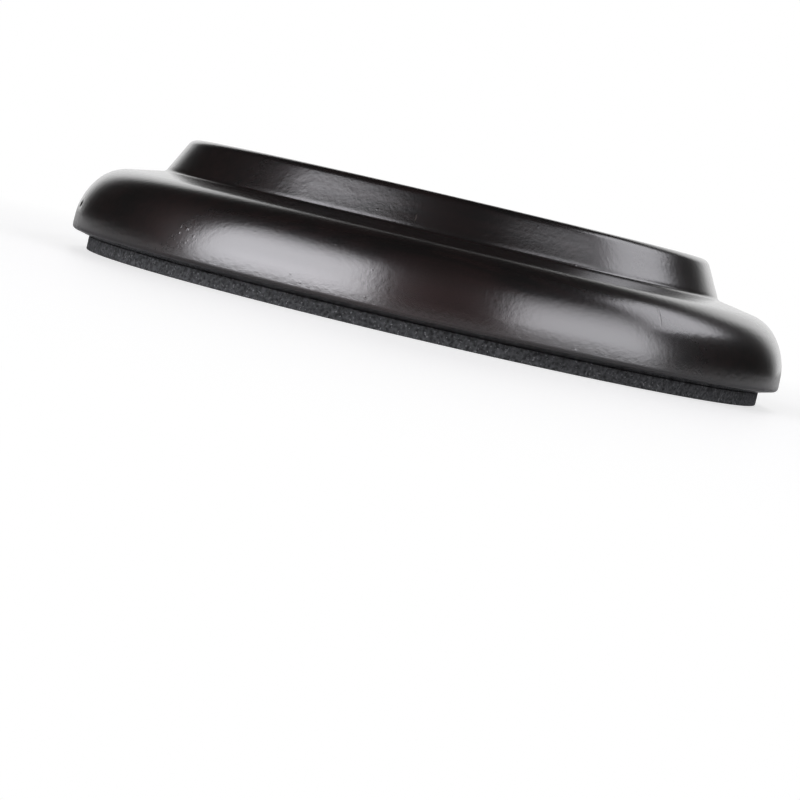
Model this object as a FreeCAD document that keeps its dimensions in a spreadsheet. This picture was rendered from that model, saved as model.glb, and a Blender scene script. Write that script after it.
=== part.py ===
import FreeCAD, Part
import math
import os

import Sketcher

# Castor cup: a turned hardwood cup that a furniture castor stands in, on a glued foam pad.
# Millimetres and degrees, +Z up, origin on the floor at the turning axis.

# Driving dimensions: name, value, what it measures.
SIZES = [
    ("overall_height", "25", "floor to the top of the rim"),
    ("recess_diameter", "90", "straight wall of the recess that takes the castor"),
    ("recess_depth", "12", "top of the rim to the floor of the recess"),
    ("recess_corner_round", "2", "hollow where the recess wall meets its floor"),
    ("lip_round", "1.5", "inner edge of the rim"),
    ("rim_land", "6.3", "recess wall to the outer corner of the rim's top, before rounding"),
    ("rim_height", "6.25", "bend low on the rim's leaning wall to its top"),
    ("rim_lean", "27.3", "slope of the rim's outer wall from upright"),
    ("rim_edge_round", "2.1", "outer edge of the rim"),
    ("rim_bend", "3.8", "how much steeper than the wall the foot of the rim is"),
    ("foot_height", "0.86", "shoulder to the bend, before the hollow between them"),
    ("foot_cove", "1", "hollow where the foot of the rim meets the shoulder"),
    ("shoulder_width", "15.1", "foot of the rim to the widest part of the flange"),
    ("shoulder_slope", "10.2", "fall of the shoulder from level"),
    ("nose_lower_round", "12.8", "lower, fuller arc of the flange's nose"),
    ("nose_upper_round", "8.7", "upper, tighter arc of the flange's nose"),
    ("nose_slant", "37.5", "slope from upright of the tangent where the two arcs meet"),
    ("nose_flat", "0.11", "straight run along that tangent between the arcs"),
    ("relief_rise", "1", "lower edge of the flange above the flat underside"),
    ("relief_width", "4", "widest part of the flange in to the flat underside"),
    ("lower_edge_round", "0.8", "lower edge of the flange"),
    ("pad_thickness", "2.5", "foam under the wood"),
    ("pad_inset", "3.5", "widest part of the flange in to the edge of the foam"),
]

# An edge is the wanted one where its radius and height agree to this distance.
EDGE_MATCH = 0.001

# Places along the radius and up from the floor that the profiles share.
RECESS_RADIUS = "dims.recess_diameter / 2"
RIM_TOP_RADIUS = f"({RECESS_RADIUS} + dims.rim_land)"
RIM_BEND_RADIUS = f"({RIM_TOP_RADIUS} + dims.rim_height * tan(dims.rim_lean * 1 deg))"
FOOT_FLARE = "tan((dims.rim_lean - dims.rim_bend) * 1 deg)"
FOOT_RADIUS = f"({RIM_BEND_RADIUS} + dims.foot_height * {FOOT_FLARE})"
FLANGE_RADIUS = f"({FOOT_RADIUS} + dims.shoulder_width)"
LOWER_EDGE_HEIGHT = "(dims.pad_thickness + dims.relief_rise)"
RIM_BEND_HEIGHT = "(dims.overall_height - dims.rim_height)"
FOOT_LEVEL = f"({RIM_BEND_HEIGHT} - dims.foot_height)"
RECESS_FLOOR_HEIGHT = "(dims.overall_height - dims.recess_depth)"
SHOULDER_FALL = "tan(dims.shoulder_slope * 1 deg)"

# The nose is two arcs on a slanting tangent, which runs from the flange's upright side up to the shoulder.
LOWER_RUN = "(dims.nose_lower_round * tan(dims.nose_slant / 2 * 1 deg))"
UPPER_RUN = "(dims.nose_upper_round * tan((90 - dims.nose_slant - dims.shoulder_slope) / 2 * 1 deg))"
SLANT_RUN = f"({LOWER_RUN} + dims.nose_flat + {UPPER_RUN})"
SLANT_DEPTH = f"({SLANT_RUN} * sin(dims.nose_slant * 1 deg))"
SLANT_RISE = f"({SLANT_RUN} * cos(dims.nose_slant * 1 deg))"

# A flange too low for the whole nose has the same nose in small.
NOSE_FLOOR = f"({LOWER_EDGE_HEIGHT} + dims.lower_edge_round)"
NOSE_ROOM = f"({FOOT_LEVEL} - dims.shoulder_width * {SHOULDER_FALL} - {NOSE_FLOOR})"
NOSE_NEED = f"({SLANT_RISE} + {LOWER_RUN} - {SLANT_DEPTH} * {SHOULDER_FALL})"
NOSE_SCALE = f"min(1; {NOSE_ROOM} / {NOSE_NEED})"
NOSE_DEPTH = f"({NOSE_SCALE} * {SLANT_DEPTH})"
BROW_RADIUS = f"({FLANGE_RADIUS} - {NOSE_DEPTH})"
BROW_HEIGHT = f"({FOOT_LEVEL} - (dims.shoulder_width - {NOSE_DEPTH}) * {SHOULDER_FALL})"
SIDE_TOP_HEIGHT = f"({BROW_HEIGHT} - {NOSE_SCALE} * {SLANT_RISE})"
LOWER_NOSE_RADIUS = f"{NOSE_SCALE} * dims.nose_lower_round"
UPPER_NOSE_RADIUS = f"{NOSE_SCALE} * dims.nose_upper_round"

doc = FreeCAD.newDocument("castor_cup")
dims = doc.addObject("Spreadsheet::Sheet", "dims")
for row, (alias, value, note) in enumerate(SIZES, start=1):
    dims.set(f"A{row}", alias)
    dims.set(f"B{row}", value)
    dims.set(f"C{row}", note)
    dims.setAlias(f"B{row}", alias)
doc.recompute()


def new_body(label):
    body = doc.addObject("PartDesign::Body", label)
    body.Label = label
    body.Placement = FreeCAD.Placement()
    return body


def new_sketch(body, name, role):
    sketch = body.newObject("Sketcher::SketchObject", name)
    plane = [item for item in body.Origin.OriginFeatures if item.Role == role][0]
    sketch.AttachmentSupport = [(plane, "")]
    sketch.MapMode = "FlatFace"
    return sketch


def bind(sketch, constraint, name, expression):
    """Add a named dimension to a sketch and tie it to the sheet."""
    index = sketch.addConstraint(constraint)
    sketch.renameConstraint(index, name)
    sketch.setExpression(f"Constraints.{name}", expression)


def draw_outline(sketch, corners):
    """Closed outline of straight edges. Each corner has a name, a radius and a height from the sheet."""
    # The corners start in order round a circle, and their dimensions then put each in its place.
    count = len(corners)
    angles = [2 * math.pi * i / count for i in range(count)]
    points = [FreeCAD.Vector(math.cos(angle), math.sin(angle), 0) for angle in angles]
    for i in range(count):
        sketch.addGeometry(Part.LineSegment(points[i], points[(i + 1) % count]), False)
    for i in range(count):
        sketch.addConstraint(Sketcher.Constraint("Coincident", i, 2, (i + 1) % count, 1))
    for i, (name, radius, height) in enumerate(corners):
        across = Sketcher.Constraint("DistanceX", -1, 1, i, 1, points[i].x)
        upward = Sketcher.Constraint("DistanceY", -1, 1, i, 1, points[i].y)
        bind(sketch, across, f"{name}_radius", radius)
        bind(sketch, upward, f"{name}_height", height)
    doc.recompute()
    return {name: sketch.getPoint(i, 1) for i, (name, _, _) in enumerate(corners)}


def turn(body, kind, name, sketch):
    """Sweep a profile once round the turning axis."""
    feature = body.newObject(kind, name)
    feature.Profile = sketch
    feature.ReferenceAxis = (sketch, ["V_Axis"])
    feature.Angle = 360
    doc.recompute()
    return feature


def round_edge(body, name, corner, radius):
    """Round the one circular edge that a corner of a profile has turned."""
    base = body.Tip
    wanted = (corner.x, corner.y)
    edges = []
    for i, edge in enumerate(base.Shape.Edges, start=1):
        if isinstance(edge.Curve, Part.Circle):
            found = (edge.Curve.Radius, edge.Curve.Center.z)
            if math.dist(found, wanted) < EDGE_MATCH:
                edges.append(f"Edge{i}")
    if len(edges) != 1:
        raise RuntimeError(f"{name}: {len(edges)} edges at {wanted}")
    fillet = body.newObject("PartDesign::Fillet", name)
    fillet.Base = (base, edges)
    fillet.setExpression("Radius", radius)
    doc.recompute()


def make_cup():
    """Turned outside, bored recess, then every edge rounded."""
    body = new_body("turned_cup")
    outside = new_sketch(body, "outside_profile", "XZ_Plane")
    outer = draw_outline(outside, [
        ("base_centre", "0", "dims.pad_thickness"),
        ("base_flat_edge", f"{FLANGE_RADIUS} - dims.relief_width", "dims.pad_thickness"),
        ("lower_edge", FLANGE_RADIUS, LOWER_EDGE_HEIGHT),
        ("side_top", FLANGE_RADIUS, SIDE_TOP_HEIGHT),
        ("brow", BROW_RADIUS, BROW_HEIGHT),
        ("rim_foot", FOOT_RADIUS, FOOT_LEVEL),
        ("rim_bend", RIM_BEND_RADIUS, RIM_BEND_HEIGHT),
        ("rim_top", RIM_TOP_RADIUS, "dims.overall_height"),
        ("top_centre", "0", "dims.overall_height"),
    ])
    blank = turn(body, "PartDesign::Revolution", "turned_blank", outside)
    blank_volume = blank.Shape.Volume

    bore = new_sketch(body, "recess_profile", "XZ_Plane")
    inner = draw_outline(bore, [
        ("floor_centre", "0", RECESS_FLOOR_HEIGHT),
        ("floor_edge", RECESS_RADIUS, RECESS_FLOOR_HEIGHT),
        ("mouth_edge", RECESS_RADIUS, "dims.overall_height"),
        ("mouth_centre", "0", "dims.overall_height"),
    ])
    recess = turn(body, "PartDesign::Groove", "castor_recess", bore)
    # The recess takes away the plain cylinder that its sizes give, but for a skin on its wall.
    cut_away = blank_volume - recess.Shape.Volume
    wall = math.pi * dims.recess_diameter * dims.recess_depth
    expected = wall * dims.recess_diameter / 4
    if abs(cut_away - expected) > wall * EDGE_MATCH:
        raise RuntimeError(f"the recess cuts {cut_away:.1f} mm3, not {expected:.1f}")

    round_edge(body, "nose_lower_arc", outer["side_top"], LOWER_NOSE_RADIUS)
    round_edge(body, "nose_upper_arc", outer["brow"], UPPER_NOSE_RADIUS)
    round_edge(body, "flange_lower_edge", outer["lower_edge"], "dims.lower_edge_round")
    round_edge(body, "rim_foot_hollow", outer["rim_foot"], "dims.foot_cove")
    round_edge(body, "rim_outer_edge", outer["rim_top"], "dims.rim_edge_round")
    round_edge(body, "rim_lip", inner["mouth_edge"], "dims.lip_round")
    round_edge(body, "recess_floor_hollow", inner["floor_edge"], "dims.recess_corner_round")
    return body


def make_pad():
    """Die-cut disc of closed-cell foam, glued under the cup."""
    body = new_body("foam_pad")
    outline = new_sketch(body, "pad_outline", "XY_Plane")
    first_radius = dims.recess_diameter / 2
    circle = Part.Circle(FreeCAD.Vector(0, 0, 0), FreeCAD.Vector(0, 0, 1), first_radius)
    outline.addGeometry(circle, False)
    outline.addConstraint(Sketcher.Constraint("Coincident", 0, 3, -1, 1))
    radius = Sketcher.Constraint("Radius", 0, first_radius)
    bind(outline, radius, "pad_radius", f"{FLANGE_RADIUS} - dims.pad_inset")
    disc = body.newObject("PartDesign::Pad", "pad_disc")
    disc.Profile = outline
    disc.setExpression("Length", "dims.pad_thickness")
    doc.recompute()
    return body


def check(bodies):
    """Stop before anything is written if a feature failed or a solid is unsound."""
    failed = [item.Name for item in doc.Objects if {"Invalid", "Error"} & set(item.State)]
    if failed:
        raise RuntimeError(f"failed features: {failed}")
    for body in bodies:
        if body.Shape.isNull() or not body.Shape.isValid() or len(body.Shape.Solids) != 1:
            raise RuntimeError(f"{body.Label} is not one valid solid")


sub_parts = [make_cup(), make_pad()]
doc.recompute()
check(sub_parts)
os.makedirs("parts", exist_ok=True)
for sub_part in sub_parts:
    sub_part.Shape.exportStep(f"parts/{sub_part.Label}.step")
    box = sub_part.Shape.optimalBoundingBox()
    volume = sub_part.Shape.Volume / 1000
    print(f"{sub_part.Label}: {box.XLength:.2f} x {box.YLength:.2f} x {box.ZLength:.2f} mm, {volume:.2f} cm3")
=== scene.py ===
import math

import bpy
from mathutils import Matrix, Vector


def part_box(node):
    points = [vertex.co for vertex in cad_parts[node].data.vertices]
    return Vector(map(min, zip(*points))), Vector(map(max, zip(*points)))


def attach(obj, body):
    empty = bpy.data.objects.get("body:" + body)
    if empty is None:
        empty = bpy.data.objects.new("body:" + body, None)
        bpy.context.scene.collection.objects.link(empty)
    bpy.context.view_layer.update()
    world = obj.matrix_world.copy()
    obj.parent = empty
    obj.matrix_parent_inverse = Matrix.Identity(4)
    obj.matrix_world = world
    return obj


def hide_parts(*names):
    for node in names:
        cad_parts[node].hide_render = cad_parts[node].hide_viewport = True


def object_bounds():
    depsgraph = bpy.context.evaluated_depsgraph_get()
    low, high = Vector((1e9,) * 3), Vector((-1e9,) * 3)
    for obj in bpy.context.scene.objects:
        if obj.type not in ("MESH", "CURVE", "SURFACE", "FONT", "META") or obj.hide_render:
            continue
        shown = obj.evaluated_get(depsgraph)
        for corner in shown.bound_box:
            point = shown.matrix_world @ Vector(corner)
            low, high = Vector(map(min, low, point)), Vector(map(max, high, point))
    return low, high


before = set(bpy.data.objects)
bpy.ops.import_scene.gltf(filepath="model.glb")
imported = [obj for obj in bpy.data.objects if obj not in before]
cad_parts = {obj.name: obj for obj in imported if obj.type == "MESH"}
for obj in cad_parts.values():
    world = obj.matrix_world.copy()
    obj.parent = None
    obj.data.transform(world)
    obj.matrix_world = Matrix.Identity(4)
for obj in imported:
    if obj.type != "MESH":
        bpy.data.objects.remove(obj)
CAD_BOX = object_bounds()

MM = 0.001
MICRON = 1e-6

# Sizes of the turned profile, in metres and radians, as the solids have them.
RECESS_RADIUS = 45 * MM
RECESS_DEPTH = 12 * MM
RECESS_CORNER_ROUND = 2 * MM
LIP_ROUND = 1.5 * MM
RIM_LAND = 6.3 * MM
RIM_HEIGHT = 6.25 * MM
RIM_LEAN = math.radians(27.3)
RIM_EDGE_ROUND = 2.1 * MM
FOOT_HEIGHT = 0.86 * MM
FOOT_LEAN = math.radians(23.5)
FOOT_COVE = 1 * MM
SHOULDER_SLOPE = math.radians(10.2)
NOSE_LOWER_ROUND = 12.8 * MM
NOSE_UPPER_ROUND = 8.7 * MM
NOSE_SLANT = math.radians(37.5)
NOSE_FLAT = 0.11 * MM
RELIEF_RISE = 1 * MM
RELIEF_WIDTH = 4 * MM
LOWER_EDGE_ROUND = 0.8 * MM

# Finer forms that only the scene has: a wave in the rim wall, an eased side and small rounds.
RIM_BEND_ROUND = 3 * MM
WALL_LOW_RUN = 1.5 * MM
WALL_LOW_LEAN = math.radians(29.4)
WALL_MIDDLE_RUN = 2.2 * MM
WALL_MIDDLE_LEAN = math.radians(27.0)
WALL_TOP_LEAN = math.radians(27.6)
WALL_WAVE_ROUND = 50 * MM
SIDE_BEND_RISE = 2.58 * MM
SIDE_BEND_ROUND = 33 * MM
SIDE_LEAN = math.radians(3.1)
RELIEF_ROUND = 0.2 * MM
PAD_EDGE_ROUND = 0.15 * MM

# The turned meshes stay this much inside the solids' boxes.
SKIN = 0.01 * MM

# Corners of the profile, which follow from the sizes and the solids' boxes.
CUP_LOW, CUP_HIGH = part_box("turned_cup")
PAD_LOW, PAD_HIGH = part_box("foam_pad")
TOP = CUP_HIGH[2]
UNDERSIDE = CUP_LOW[2]
RIM_TOP_RADIUS = RECESS_RADIUS + RIM_LAND
RIM_BEND_RADIUS = RIM_TOP_RADIUS + RIM_HEIGHT * math.tan(RIM_LEAN)
RIM_BEND_HEIGHT = TOP - RIM_HEIGHT
HOLLOW_RADIUS = RIM_BEND_RADIUS - WALL_LOW_RUN * math.sin(WALL_LOW_LEAN)
HOLLOW_HEIGHT = RIM_BEND_HEIGHT + WALL_LOW_RUN * math.cos(WALL_LOW_LEAN)
CROWN_RADIUS = HOLLOW_RADIUS - WALL_MIDDLE_RUN * math.sin(WALL_MIDDLE_LEAN)
CROWN_HEIGHT = HOLLOW_HEIGHT + WALL_MIDDLE_RUN * math.cos(WALL_MIDDLE_LEAN)
RIM_EDGE_RADIUS = CROWN_RADIUS - (TOP - CROWN_HEIGHT) * math.tan(WALL_TOP_LEAN)
FOOT_RADIUS = RIM_BEND_RADIUS + FOOT_HEIGHT * math.tan(FOOT_LEAN)
FOOT_LEVEL = RIM_BEND_HEIGHT - FOOT_HEIGHT
FLANGE_RADIUS = (CUP_HIGH[0] - CUP_LOW[0]) / 2 - SKIN
NOSE_LOWER_RUN = NOSE_LOWER_ROUND * math.tan(NOSE_SLANT / 2)
NOSE_UPPER_RUN = NOSE_UPPER_ROUND * math.tan((math.pi / 2 - NOSE_SLANT - SHOULDER_SLOPE) / 2)
NOSE_RUN = NOSE_LOWER_RUN + NOSE_FLAT + NOSE_UPPER_RUN
BROW_RADIUS = FLANGE_RADIUS - NOSE_RUN * math.sin(NOSE_SLANT)
BROW_HEIGHT = FOOT_LEVEL - (BROW_RADIUS - FOOT_RADIUS) * math.tan(SHOULDER_SLOPE)
SIDE_BEND_HEIGHT = UNDERSIDE + SIDE_BEND_RISE
SIDE_TOP_HEIGHT = (
    BROW_RADIUS - FLANGE_RADIUS
    + BROW_HEIGHT * math.tan(NOSE_SLANT)
    - SIDE_BEND_HEIGHT * math.tan(SIDE_LEAN)
) / (math.tan(NOSE_SLANT) - math.tan(SIDE_LEAN))
SIDE_TOP_RADIUS = FLANGE_RADIUS - (SIDE_TOP_HEIGHT - SIDE_BEND_HEIGHT) * math.tan(SIDE_LEAN)
PAD_RADIUS = (PAD_HIGH[0] - PAD_LOW[0]) / 2 - SKIN

# A small dent at the left end of the flange: its turn from the front, its middle and its half sizes.
# Its wall is the share of the half sizes over which it deepens, and its reach the turn that is cut finer.
DENT_TURN = math.radians(-75)
DENT_LEVEL = 8.3 * MM
DENT_HALF_LENGTH = 2 * MM
DENT_HALF_HEIGHT = 0.9 * MM
DENT_DEPTH = 0.2 * MM
DENT_WALL = 0.8
DENT_REACH = 1.2 * DENT_HALF_LENGTH / FLANGE_RADIUS

# Fineness of the turned meshes, finer round the dent.
CUP_SEGMENTS = 480
PAD_SEGMENTS = 1080
ARC_STEP = math.radians(6)
NOSE_STEP = math.radians(1)
PAD_ARC_STEP = 3 * ARC_STEP
RUN_STEP = 0.9 * MM
PAD_RUN_STEP = 0.25 * MM
DENT_STEPS = 30

# Colours of the wood and the foam; the tones are the two stops of a ramp, each a position and a colour.
# The wood's redder stop colours the redder stain and also the painted reddish sheen of the two front
# patches.
STAIN_AND_SHEEN_TONES = ((0.35, (0.0043, 0.0035, 0.0033, 1)), (0.95, (0.0250, 0.0120, 0.0110, 1)))
SCRATCH_COLOUR = (0.075, 0.063, 0.057, 1)
FOAM_TONES = ((0.45, (0.027, 0.028, 0.0285, 1)), (0.95, (0.110, 0.113, 0.116, 1)))
FLECK_COLOUR = (0.24, 0.24, 0.245, 1)

# Grain runs along X. Its weight and the cloud's say how much each reddens the stain.
GRAIN_SCALE = (60, 900, 900)
GRAIN_WEIGHT = 0.55
CLOUD_WEIGHT = 0.35

# Marks on the wood: a turn from the front in degrees, right positive, then in millimetres a radius,
# a height, and half sizes along, into and up the surface. A patch of redder colour has a weight too.
# The patches at turns 124 and -148 are redder stain. The two at -1 and -42 are painted sheen: the reddish
# glow of the lamps' blurred reflection between and beside the highlights.
STAIN_AND_SHEEN_PATCHES = [
    # Painted sheen: the reddish glow between the two highlights at the front.
    ((-1, 69, 6, (34, 14, 8)), 0.55),
    # Painted sheen: the reddish glow at the left end of the left highlight.
    ((-42, 69, 7.5, (16, 12, 7)), 0.35),
    # Redder stain at the back.
    ((124, 68, 8, (30, 14, 9)), 0.5),
    ((-148, 66, 9, (38, 16, 10)), 0.5),
]
SCRATCHES = [
    (-28.1, 57.4, 17.5, (0.16, 2.6, 0.8)),
    (-8.7, 57.6, 17.4, (0.16, 2.2, 0.8)),
    (-5.4, 53.8, 19.8, (0.16, 0.9, 1.0)),
]
DUST_PLACE = (-38.3, 69.5, 8.0, (4, 3, 2.4))
SCUFF_PLACE = (-27, 53.3, 20.6, (17, 8, 3.6))
CRACK_PLACE = (36.0, 67.3, 13.0, (0.32, 2.6, 2.4))

# Values of a texture or a mask at which a mark starts and is full.
PLACE_FADE = (0.0, 0.5)
NIB_FADE = (0.08, 0.02)
DUST_FADE = (0.32, 0.08)
SCUFF_FADE = (0.44, 0.64)
FLECK_FADE = (0.60, 0.80)

# Heights of the wood's bump, in thousandths of a millimetre, and of the foam's, in metres.
RIPPLE_HEIGHT = 24.0
NIB_HEIGHT = 13.0
DUST_HEIGHT = 20.0
SCUFF_HEIGHT = 18.0
CRACK_HEIGHT = -34.0
FOAM_HEIGHT = 0.3 * MM

# Camera of the photograph, an 800 pixel square; the lens and the sensor are in millimetres.
CAMERA_DISTANCE = 0.465
EYE_HEIGHT = 0.01801
LENS = 107.01
SENSOR_WIDTH = 36.0
CLIP_START = 0.01
YAW_LEFT = math.radians(0.079)
PITCH_DOWN = math.radians(4.095)
ROLL = math.radians(13.208)

# Studio lights, and a panel behind the cup that only its reflections show: the turn of its middle at
# the horizon, its lean, and where its sides and its top fade out.
COOL_WHITE = (0.96, 0.95, 1.0)
SOFTBOX_DISTANCE = 1.05
PANEL_TURN = math.radians(1.5)
PANEL_LEAN = math.radians(8)
PANEL_SIDE_FADE = (math.radians(34), math.radians(20))
PANEL_TOP_FADE = (0.66, 0.46)
ROOM_GLOW = 0.012
UNDER_GLOW = 0.7
UNDER_FADE = (-0.02, -0.2)

# The floor runs out to white over a range of distances, and less of that glow shows in reflections.
WHITE = (1, 1, 1, 1)
FLOOR_COLOUR = (0.42, 0.42, 0.42, 1)
FLOOR_GAP = 0.02 * MM
FLOOR_UNDER_PAD = 0.25 * MM
FLOOR_OPENING = PAD_RADIUS - FLOOR_UNDER_PAD
FLOOR_RADIUS = 5.0
FLOOR_SEGMENTS = 240
FLOOR_FADE = (0.08, 0.28)
FLOOR_NEAR_GLOW = 0.65
FLOOR_FAR_GAIN = 0.35
FLOOR_MIRRORED = 0.25


def rounded_profile(corners, run_step, arc_step):
    """Points along straight runs between corners, each corner (radius, height, round) a tangent arc.

    A corner may give its own arc step as a fourth value.
    """
    points = [Vector(corners[0][:2])]
    for before, corner, after in zip(corners, corners[1:], corners[2:]):
        here = Vector(corner[:2])
        back = (Vector(before[:2]) - here).normalized()
        ahead = (Vector(after[:2]) - here).normalized()
        half = back.angle(ahead) / 2
        reach = corner[2] / math.tan(half)
        centre = here + (back + ahead).normalized() * (corner[2] / math.sin(half))
        start = here + back * reach - centre
        sweep = start.angle_signed(here + ahead * reach - centre)
        steps = max(1, math.ceil(abs(sweep) / (corner[3] if len(corner) > 3 else arc_step)))
        add_run(points, centre + start, run_step)
        for i in range(1, steps + 1):
            points.append(centre + Matrix.Rotation(-sweep * i / steps, 2) @ start)
    add_run(points, Vector(corners[-1][:2]), run_step)
    return points


def add_run(points, end, run_step):
    """A run in even steps, or with one ring near its rim where it is a flat that meets the axis."""
    start = points[-1].copy()
    length = (end - start).length
    if start.x == 0:
        shares = [1 - run_step / length, 1]
    elif end.x == 0:
        shares = [run_step / length, 1]
    else:
        steps = max(1, math.ceil(length / run_step))
        shares = [i / steps for i in range(1, steps + 1)]
    points.extend(start.lerp(end, share) for share in shares)


def even_turns(segments):
    """Turns round the axis in radians, from the back through the left, the front and the right."""
    return [2 * math.pi * i / segments - math.pi for i in range(segments)]


def dented(radius, turn, level):
    """Radius of the cup's outside with the dent pressed into it."""
    if radius < RIM_TOP_RADIUS:
        return radius
    along = radius * (turn - DENT_TURN) / DENT_HALF_LENGTH
    up = (level - DENT_LEVEL) / DENT_HALF_HEIGHT
    share = min(max((1 - math.hypot(along, up)) / DENT_WALL, 0), 1)
    return radius - DENT_DEPTH * share * share * (3 - 2 * share)


def lathe(name, profile, turns, shape=None):
    """Closed mesh turned round Z from a profile that starts and ends on the axis."""
    segments = len(turns)
    rings = profile[1:-1]
    verts = []
    for radius, level in rings:
        for turn in turns:
            r = shape(radius, turn, level) if shape else radius
            verts.append((r * math.sin(turn), -r * math.cos(turn), level))
    first_pole = len(verts)
    verts += [(0, 0, profile[0].y), (0, 0, profile[-1].y)]
    faces = []
    for i in range(segments):
        j = (i + 1) % segments
        faces.append((first_pole, j, i))
        for ring in range(len(rings) - 1):
            low, high = ring * segments, (ring + 1) * segments
            faces.append((low + i, low + j, high + j, high + i))
        last = (len(rings) - 1) * segments
        faces.append((first_pole + 1, last + i, last + j))
    mesh = bpy.data.meshes.new(name)
    mesh.from_pydata(verts, [], faces)
    mesh.validate()
    mesh.shade_smooth()
    piece = bpy.data.objects.new(name, mesh)
    bpy.context.collection.objects.link(piece)
    return piece


def make_cup():
    """The turned cup, its profile given from the middle of the underside to the middle of the recess."""
    profile = rounded_profile([
        (0, UNDERSIDE, 0),
        (FLANGE_RADIUS - RELIEF_WIDTH, UNDERSIDE, RELIEF_ROUND),
        (FLANGE_RADIUS, UNDERSIDE + RELIEF_RISE, LOWER_EDGE_ROUND),
        (FLANGE_RADIUS, SIDE_BEND_HEIGHT, SIDE_BEND_ROUND, NOSE_STEP),
        (SIDE_TOP_RADIUS, SIDE_TOP_HEIGHT, NOSE_LOWER_ROUND, NOSE_STEP),
        (BROW_RADIUS, BROW_HEIGHT, NOSE_UPPER_ROUND),
        (FOOT_RADIUS, FOOT_LEVEL, FOOT_COVE),
        (RIM_BEND_RADIUS, RIM_BEND_HEIGHT, RIM_BEND_ROUND),
        (HOLLOW_RADIUS, HOLLOW_HEIGHT, WALL_WAVE_ROUND),
        (CROWN_RADIUS, CROWN_HEIGHT, WALL_WAVE_ROUND),
        (RIM_EDGE_RADIUS, TOP, RIM_EDGE_ROUND),
        (RECESS_RADIUS, TOP, LIP_ROUND),
        (RECESS_RADIUS, TOP - RECESS_DEPTH, RECESS_CORNER_ROUND),
        (0, TOP - RECESS_DEPTH, 0),
    ], RUN_STEP, ARC_STEP)
    turns = [turn for turn in even_turns(CUP_SEGMENTS) if abs(turn - DENT_TURN) > DENT_REACH]
    turns += [DENT_TURN + DENT_REACH * (2 * i / DENT_STEPS - 1) for i in range(DENT_STEPS + 1)]
    return lathe("cup_lacquered", profile, sorted(turns), dented)


def make_pad():
    """The foam disc under the cup."""
    profile = rounded_profile([
        (0, PAD_LOW[2], 0),
        (PAD_RADIUS, PAD_LOW[2], PAD_EDGE_ROUND),
        (PAD_RADIUS, PAD_HIGH[2], PAD_EDGE_ROUND),
        (0, PAD_HIGH[2], 0),
    ], PAD_RUN_STEP, PAD_ARC_STEP)
    return lathe("pad_foam", profile, even_turns(PAD_SEGMENTS))


class Nodes:
    """A short way to write a node tree."""

    def __init__(self, tree):
        self.tree = tree
        tree.nodes.clear()

    def add(self, kind, inputs=None, **settings):
        node = self.tree.nodes.new(kind)
        for key, value in settings.items():
            setattr(node, key, value)
        for key, value in (inputs or {}).items():
            self.feed(node.inputs[key], value)
        return node

    def feed(self, socket, value):
        if isinstance(value, bpy.types.NodeSocket):
            self.tree.links.new(value, socket)
        else:
            socket.default_value = value

    def calc(self, operation, *values):
        """Result of a math node."""
        return self.add("ShaderNodeMath", dict(enumerate(values)), operation=operation).outputs[0]

    def weigh(self, pairs):
        """Sum of sockets times weights."""
        total = 0.0
        for socket, weight in pairs:
            total = self.calc("MULTIPLY_ADD", socket, weight, total)
        return total

    def fade(self, value, low, high):
        """Smooth step of a value from 0 at low to 1 at high, which may be the smaller one."""
        return self.add("ShaderNodeMapRange", {"Value": value, "From Min": low, "From Max": high},
                        interpolation_type="SMOOTHSTEP").outputs[0]

    def noise(self, place, scale, detail, roughness=0.5):
        return self.add("ShaderNodeTexNoise", {
            "Vector": place, "Scale": scale, "Detail": detail, "Roughness": roughness,
        }).outputs[0]

    def cells(self, place, scale):
        """Distance to the middle of the cell that a place lies in."""
        return self.add("ShaderNodeTexVoronoi", {"Vector": place, "Scale": scale}).outputs["Distance"]

    def ramp(self, value, *stops):
        """Colour that runs from the first stop to the second, each a position and a colour."""
        node = self.add("ShaderNodeValToRGB", {"Fac": value})
        for element, (position, colour) in zip(node.color_ramp.elements, stops):
            element.position = position
            element.color = colour
        return node.outputs[0]

    def blend(self, share, under, over):
        """Mix of two colours, which are inputs 6 and 7 of the node."""
        return self.add("ShaderNodeMix", {"Factor": share, 6: under, 7: over}, data_type="RGBA").outputs[2]

    def bump(self, height, strength, distance):
        return self.add("ShaderNodeBump", {
            "Height": height, "Strength": strength, "Distance": distance,
        }).outputs[0]

    def mirrored(self, path):
        """1 for rays that come off a glossy surface or through a clear one."""
        return self.calc("MAXIMUM", path["Is Glossy Ray"], path["Is Transmission Ray"])


def new_material(name):
    material = bpy.data.materials.new(name)
    material.use_nodes = True
    return material, Nodes(material.node_tree)


def on_cup(turn, radius, height):
    """Point in metres from a turn in degrees from the front, right positive, and millimetres."""
    angle = math.radians(turn)
    return (radius * MM * math.sin(angle), -radius * MM * math.cos(angle), height * MM)


def spot(n, place, turn, radius, height, size):
    """Mask that falls from 1 at a point of the cup to 0 at half sizes along, into and up its surface."""
    local = n.add("ShaderNodeMapping", {
        "Vector": place,
        "Location": on_cup(turn, radius, height),
        "Rotation": (0, 0, math.radians(turn)),
        "Scale": [half * MM for half in size],
    }, vector_type="TEXTURE").outputs[0]
    return n.add("ShaderNodeTexGradient", {"Vector": local}, gradient_type="SPHERICAL").outputs["Fac"]


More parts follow.
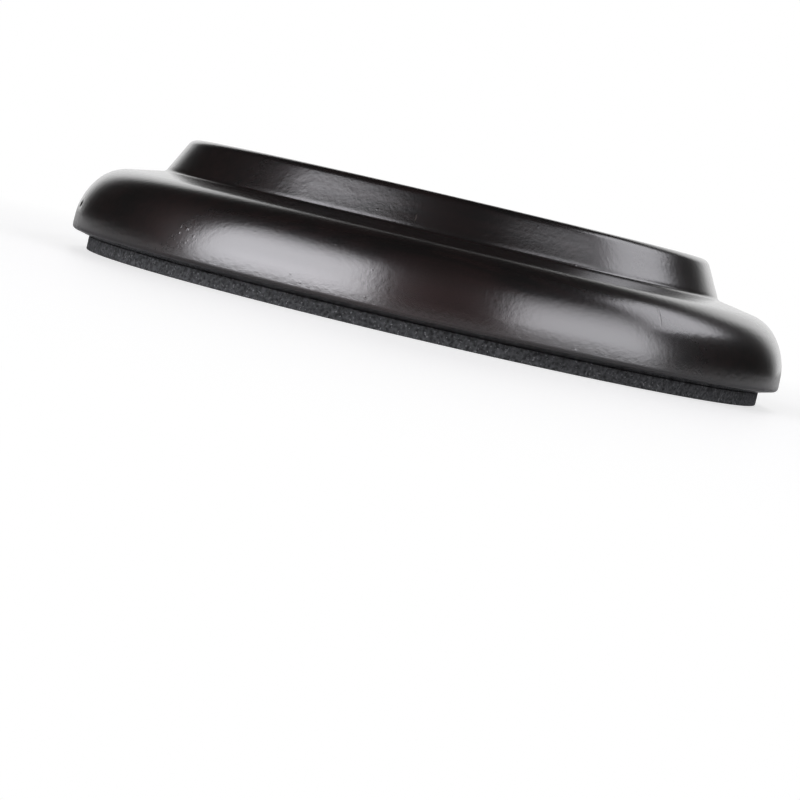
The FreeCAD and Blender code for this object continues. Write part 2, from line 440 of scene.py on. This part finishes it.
def wood_material():
    """Dark stained hardwood under satin lacquer, with redder stain patches, a painted reddish sheen at the
    front and light wear.
    """
    material, n = new_material("stained_wood_lacquered")
    place = n.add("ShaderNodeTexCoord").outputs["Object"]
    grain_space = n.add("ShaderNodeMapping", {"Vector": place, "Scale": GRAIN_SCALE}).outputs[0]
    grain = n.noise(grain_space, scale=1.0, detail=5.0)
    cloud = n.noise(place, scale=70.0, detail=3.0)
    # The patches add redder stain at the back and a painted reddish sheen between and beside the front
    # highlights.
    patches = [(spot(n, place, *patch), weight) for patch, weight in STAIN_AND_SHEEN_PATCHES]
    stain_and_sheen = n.weigh([(grain, GRAIN_WEIGHT), (cloud, CLOUD_WEIGHT)] + patches)
    tone = n.ramp(stain_and_sheen, *STAIN_AND_SHEEN_TONES)

    # Hairline scratches show paler than the stain.
    scratches = n.weigh([(spot(n, place, *scratch), 1.0) for scratch in SCRATCHES])
    scratched = n.blend(scratches, tone, SCRATCH_COLOUR)

    # The lacquer has a ripple, dust nibs, a cluster of dust, a scuffed rim and a hairline crack.
    ripple = n.noise(place, scale=1000.0, detail=2.0, roughness=0.65)
    nibs = n.fade(n.cells(place, scale=260.0), *NIB_FADE)
    dusty = n.fade(spot(n, place, *DUST_PLACE), *PLACE_FADE)
    dust = n.calc("MULTIPLY", dusty, n.fade(n.cells(place, scale=1100.0), *DUST_FADE))
    rough = n.noise(place, scale=2200.0, detail=3.0)
    scuffed = n.fade(spot(n, place, *SCUFF_PLACE), *PLACE_FADE)
    worn = n.calc("MULTIPLY", scuffed, n.fade(n.noise(place, scale=330.0, detail=1.0), *SCUFF_FADE))
    scuffs = n.calc("MULTIPLY", rough, worn)
    height = n.weigh([
        (ripple, RIPPLE_HEIGHT),
        (nibs, NIB_HEIGHT),
        (dust, DUST_HEIGHT),
        (scuffs, SCUFF_HEIGHT),
        (spot(n, place, *CRACK_PLACE), CRACK_HEIGHT),
    ])
    bump = n.bump(height, strength=1.0, distance=MICRON)
    shader = n.add("ShaderNodeBsdfPrincipled", {
        "Base Color": scratched,
        "Roughness": 0.33,
        "Specular IOR Level": 0.4,
        "Normal": bump,
        "Coat Weight": 1.0,
        "Coat Roughness": 0.18,
        "Coat IOR": 2.1,
        "Coat Normal": bump,
    })
    n.add("ShaderNodeOutputMaterial", {"Surface": shader.outputs[0]})
    return material


def foam_material():
    """Dark grey closed-cell foam with cut cells on its edge."""
    material, n = new_material("closed_cell_foam")
    place = n.add("ShaderNodeTexCoord").outputs["Object"]
    grit = n.noise(place, scale=1700.0, detail=2.0)
    relief = n.weigh([(grit, 1.0), (n.cells(place, scale=1500.0), 0.35)])
    tone = n.ramp(relief, *FOAM_TONES)
    flecks = n.fade(n.noise(place, scale=2400.0, detail=1.0), *FLECK_FADE)
    shader = n.add("ShaderNodeBsdfPrincipled", {
        "Base Color": n.blend(flecks, tone, FLECK_COLOUR),
        "Roughness": 0.9,
        "Specular IOR Level": 0.25,
        "Normal": n.bump(relief, strength=0.6, distance=FOAM_HEIGHT),
    })
    n.add("ShaderNodeOutputMaterial", {"Surface": shader.outputs[0]})
    return material


def make_camera():
    data = bpy.data.cameras.new("camera")
    data.lens = LENS
    data.sensor_width = SENSOR_WIDTH
    data.clip_start = CLIP_START
    camera = bpy.data.objects.new("camera", data)
    camera.matrix_world = (
        Matrix.Translation((0, -CAMERA_DISTANCE, EYE_HEIGHT))
        @ Matrix.Rotation(YAW_LEFT, 4, "Z")
        @ Matrix.Rotation(math.pi / 2 - PITCH_DOWN, 4, "X")
        @ Matrix.Rotation(ROLL, 4, "Z")
    )
    bpy.context.collection.objects.link(camera)
    bpy.context.scene.camera = camera


def softbox(name, turn, foot, width, tall, radiance, side, top, spin=0.0, base=0.01):
    """Studio light round the cup, turned from the camera's side in degrees, right positive.

    The light stands upright with its foot at a height and is spun about its own middle in degrees.
    It dims towards its sides, its top and its base, over the given shares of its width and height.
    """
    data = bpy.data.lights.new(name, "AREA")
    data.shape = "RECTANGLE"
    data.size = width
    data.size_y = tall
    data.energy = radiance * math.pi * width * tall
    data.color = COOL_WHITE
    data.use_nodes = True
    n = Nodes(data.node_tree)
    across = n.add("ShaderNodeNewGeometry").outputs["Parametric"]
    axes = n.add("ShaderNodeSeparateXYZ", {"Vector": across}).outputs
    strength = n.fade(axes["X"], 0, side)
    for edge in (
        n.fade(axes["X"], 1, 1 - side),
        n.fade(axes["Y"], 1, 1 - top),
        n.fade(axes["Y"], 0, base),
    ):
        strength = n.calc("MULTIPLY", strength, edge)
    glow = n.add("ShaderNodeEmission", {"Strength": strength})
    n.add("ShaderNodeOutputLight", {"Surface": glow.outputs[0]})
    light = bpy.data.objects.new(name, data)
    turn = math.radians(turn)
    away = Vector((math.sin(turn), -math.cos(turn), 0)) * SOFTBOX_DISTANCE
    facing = (-away).to_track_quat("-Z", "Y").to_matrix().to_4x4()
    centre = away + Vector((0, 0, foot + tall / 2))
    light.matrix_world = Matrix.Translation(centre) @ facing @ Matrix.Rotation(math.radians(spin), 4, "Z")
    light.visible_camera = False
    bpy.context.collection.objects.link(light)


def make_world():
    """White to the camera; to the rest a dim room with a glow from below and the panel in reflections."""
    world = bpy.data.worlds.new("studio")
    bpy.context.scene.world = world
    world.use_nodes = True
    n = Nodes(world.node_tree)
    direction = n.add("ShaderNodeTexCoord").outputs["Generated"]
    axes = n.add("ShaderNodeSeparateXYZ", {"Vector": direction}).outputs
    turn = n.calc("ARCTAN2", axes["X"], axes["Y"])
    middle = n.calc("MULTIPLY_ADD", axes["Z"], PANEL_LEAN, PANEL_TURN)
    aside = n.calc("ABSOLUTE", n.calc("SUBTRACT", turn, middle))
    panel = n.calc("MULTIPLY", n.fade(aside, *PANEL_SIDE_FADE), n.fade(axes["Z"], *PANEL_TOP_FADE))
    path = n.add("ShaderNodeLightPath").outputs
    room = n.calc("MULTIPLY_ADD", n.fade(axes["Z"], *UNDER_FADE), UNDER_GLOW, ROOM_GLOW)
    glow = n.calc("MULTIPLY_ADD", panel, n.mirrored(path), room)
    strength = n.calc("MAXIMUM", path["Is Camera Ray"], glow)
    shader = n.add("ShaderNodeBackground", {"Color": WHITE, "Strength": strength})
    n.add("ShaderNodeOutputWorld", {"Surface": shader.outputs[0]})


def floor_material():
    """Pale grey near the cup that runs out to plain white, and clear from below."""
    material, n = new_material("pale_floor")
    place = n.add("ShaderNodeTexCoord").outputs["Object"]
    distance = n.add("ShaderNodeVectorMath", {0: place}, operation="LENGTH").outputs["Value"]
    far = n.fade(distance, *FLOOR_FADE)
    path = n.add("ShaderNodeLightPath").outputs
    shown = n.calc("MULTIPLY", n.mirrored(path), FLOOR_MIRRORED)
    seen = n.calc("MULTIPLY_ADD", shown, far, path["Is Camera Ray"])
    cover = n.calc("MULTIPLY", seen, far)
    level = n.calc("MULTIPLY_ADD", far, FLOOR_FAR_GAIN, FLOOR_NEAR_GLOW)
    strength = n.calc("MULTIPLY", seen, level)
    pale = n.add("ShaderNodeBsdfPrincipled", {"Base Color": FLOOR_COLOUR, "Roughness": 0.5}).outputs[0]
    near = n.add("ShaderNodeMixShader", {0: cover, 1: pale}).outputs[0]
    white = n.add("ShaderNodeEmission", {"Color": WHITE, "Strength": strength}).outputs[0]
    lit = n.add("ShaderNodeAddShader", {0: near, 1: white}).outputs[0]
    below = n.add("ShaderNodeNewGeometry").outputs["Backfacing"]
    clear = n.add("ShaderNodeBsdfTransparent").outputs[0]
    shader = n.add("ShaderNodeMixShader", {0: below, 1: lit, 2: clear}).outputs[0]
    n.add("ShaderNodeOutputMaterial", {"Surface": shader})
    return material


def make_floor():
    """Floor that keeps the contact shadow near the cup, open under the pad so that the underside shows."""
    turns = [2 * math.pi * i / FLOOR_SEGMENTS for i in range(FLOOR_SEGMENTS)]
    verts = [(r * math.cos(a), r * math.sin(a), 0) for r in (FLOOR_OPENING, FLOOR_RADIUS) for a in turns]
    faces = []
    for i in range(FLOOR_SEGMENTS):
        j = (i + 1) % FLOOR_SEGMENTS
        faces.append((i, FLOOR_SEGMENTS + i, FLOOR_SEGMENTS + j, j))
    mesh = bpy.data.meshes.new("floor")
    mesh.from_pydata(verts, [], faces)
    mesh.materials.append(floor_material())
    floor = bpy.data.objects.new("floor", mesh)
    bpy.context.collection.objects.link(floor)
    floor.location.z = CAD_BOX[0][2] - FLOOR_GAP


def dress(piece, material, node):
    piece.data.materials.append(material)
    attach(piece, "root")
    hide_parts(node)


cup = make_cup()
dress(cup, wood_material(), "turned_cup")
pad = make_pad()
dress(pad, foam_material(), "foam_pad")

make_floor()
make_world()
make_camera()
softbox("left_softbox", turn=-48.3, foot=-0.05, width=1.49, tall=1.69, radiance=3.3,
        side=0.19, top=0.65, spin=4)
softbox("left_low_fill", turn=-45, foot=-0.05, width=1.0, tall=0.45, radiance=0.6,
        side=0.3, top=0.7)
softbox("right_softbox", turn=52.5, foot=-0.05, width=1.26, tall=1.53, radiance=2.45,
        side=0.24, top=0.76, spin=-6, base=0.1)
softbox("right_window", turn=105.5, foot=0.60, width=1.0, tall=1.17, radiance=2.0,
        side=0.3, top=0.35, spin=-11)

bpy.context.scene.view_settings.view_transform = "Standard"
